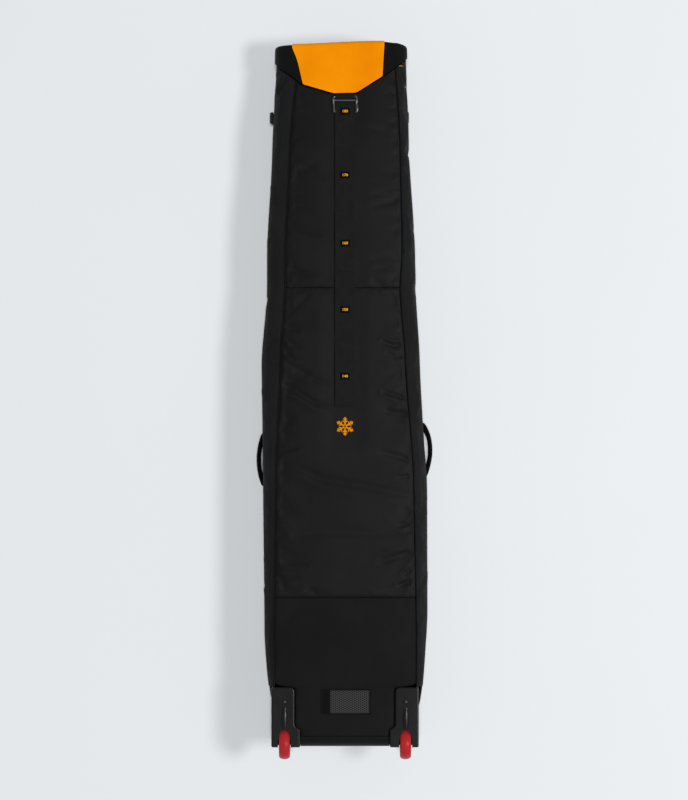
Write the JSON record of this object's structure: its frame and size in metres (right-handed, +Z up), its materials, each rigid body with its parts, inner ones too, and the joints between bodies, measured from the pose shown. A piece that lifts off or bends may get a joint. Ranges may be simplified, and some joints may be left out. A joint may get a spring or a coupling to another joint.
{
  "type": "snowboard bag",
  "caption": "Long padded roller bag for snowboards or skis, with fold-over hooked flap, corner wheels, side handles and a zipped front panel that opens along its length.",
  "frame": {"origin": "on the floor under the middle of the bag, which lies on its front panel", "axes": "+Y along the bag towards the flap end, wheels at -Y; +X to the right seen from above with the flap end away; +Z up, through the padded back"},
  "size_m": [0.451, 1.8337, 0.252],
  "materials": {
    "coated_fabric": "matte",
    "black_fabric": "matte",
    "lining_fabric": "matte",
    "orange_fabric": "matte",
    "black_webbing": "matte",
    "tag_rubber": "matte",
    "orange_thread": "satin",
    "housing_plastic": "satin",
    "hub_plastic": "satin",
    "red_wheel": "satin",
    "steel": "satin",
    "hook_metal": "satin",
    "window_mesh": "matte",
    "zip_nylon": "satin",
    "frame_plastic": "matte"
  },
  "bodies": {
    "shell": {"back_panel_upper": "coated_fabric", "back_panel_middle": "coated_fabric", "back_panel_lower": "coated_fabric", "side_gusset_left": "black_fabric", "side_gusset_right": "black_fabric", "end_panel_base": "black_fabric", "end_panel_top": "black_fabric", "piping_left": "black_webbing", "piping_right": "black_webbing", "hook_loop_webbing": "black_webbing", "handle_patch_left_top": "black_webbing", "handle_patch_left_base": "black_webbing", "handle_patch_right_top": "black_webbing", "handle_patch_right_base": "black_webbing", "side_tab_left": "black_webbing", "side_tab_right": "black_webbing", "card_window_frame": "black_webbing", "inside_strap_upper": "black_webbing", "inside_strap_lower": "black_webbing", "length_tag_180": "tag_rubber", "length_tag_170": "tag_rubber", "length_tag_160": "tag_rubber", "length_tag_150": "tag_rubber", "length_tag_140": "tag_rubber", "snowflake_badge": "orange_thread", "wheel_housing_left": "housing_plastic", "wheel_housing_right": "housing_plastic", "inside_buckle_upper": "housing_plastic", "inside_buckle_lower": "housing_plastic", "axle_left": "steel", "axle_right": "steel", "housing_screw_left": "steel", "housing_screw_right": "steel", "card_window_mesh": "window_mesh", "zip_chain": "zip_nylon", "base_frame_plate": "frame_plastic"},
    "flap": {"flap_lining": "lining_fabric", "flap_wing_left": "black_fabric", "flap_wing_right": "black_fabric", "flap_orange_panel": "orange_fabric", "closure_strap": "black_webbing"},
    "hook": {"closure_hook": "hook_metal"},
    "lid": {"front_panel": "black_fabric"},
    "slider": {"zip_slider": "hook_metal"},
    "pull": {"zip_pull": "black_webbing"},
    "wheel_left": {"wheel_tyre_left": "red_wheel", "wheel_hub_left": "hub_plastic", "wheel_bearing_left": "steel"},
    "wheel_right": {"wheel_tyre_right": "red_wheel", "wheel_hub_right": "hub_plastic", "wheel_bearing_right": "steel"},
    "handle_left": {"side_handle_left": "black_webbing"},
    "handle_right": {"side_handle_right": "black_webbing"}
  },
  "joints": [
    {"name": "wheel_left_spin", "type": "hinge", "parent": "shell", "child": "wheel_left", "pos_m": [-0.1545, -0.877, 0.212], "axis": [1, 0, 0], "continuous": true},
    {"name": "wheel_right_spin", "type": "hinge", "parent": "shell", "child": "wheel_right", "pos_m": [0.1545, -0.877, 0.212], "axis": [1, 0, 0], "continuous": true},
    {"name": "flap_open", "type": "hinge", "parent": "shell", "child": "flap", "pos_m": [0, 0.912, 0.1], "axis": [-1, 0, 0], "range_deg": [0, 165]},
    {"name": "hook_swing", "type": "hinge", "parent": "flap", "child": "hook", "pos_m": [0, 0.7785, 0.18657], "axis": [-1, 0, 0], "range_deg": [0, 110]},
    {"name": "front_panel_open", "type": "hinge", "parent": "shell", "child": "lid", "pos_m": [-0.128, 0, 0.001], "axis": [0, 1, 0], "range_deg": [0, 120]},
    {"name": "zip_slide", "type": "slide", "parent": "shell", "child": "slider", "axis": [0.019, -0.9998, 0], "range_m": [0, 1.7]},
    {"name": "zip_pull_swing", "type": "hinge", "parent": "slider", "child": "pull", "pos_m": [0.10287, 0.86, 0.003], "axis": [0.9998, 0.019, 0], "range_deg": [0, 90]},
    {"name": "side_handle_left_swing", "type": "hinge", "parent": "shell", "child": "handle_left", "pos_m": [-0.2165, -0.1535, 0.112], "axis": [0, 1, 0], "range_deg": [-20, 20]},
    {"name": "side_handle_right_swing", "type": "hinge", "parent": "shell", "child": "handle_right", "pos_m": [0.2095, -0.128, 0.112], "axis": [0, 1, 0], "range_deg": [-20, 20]}
  ]
}
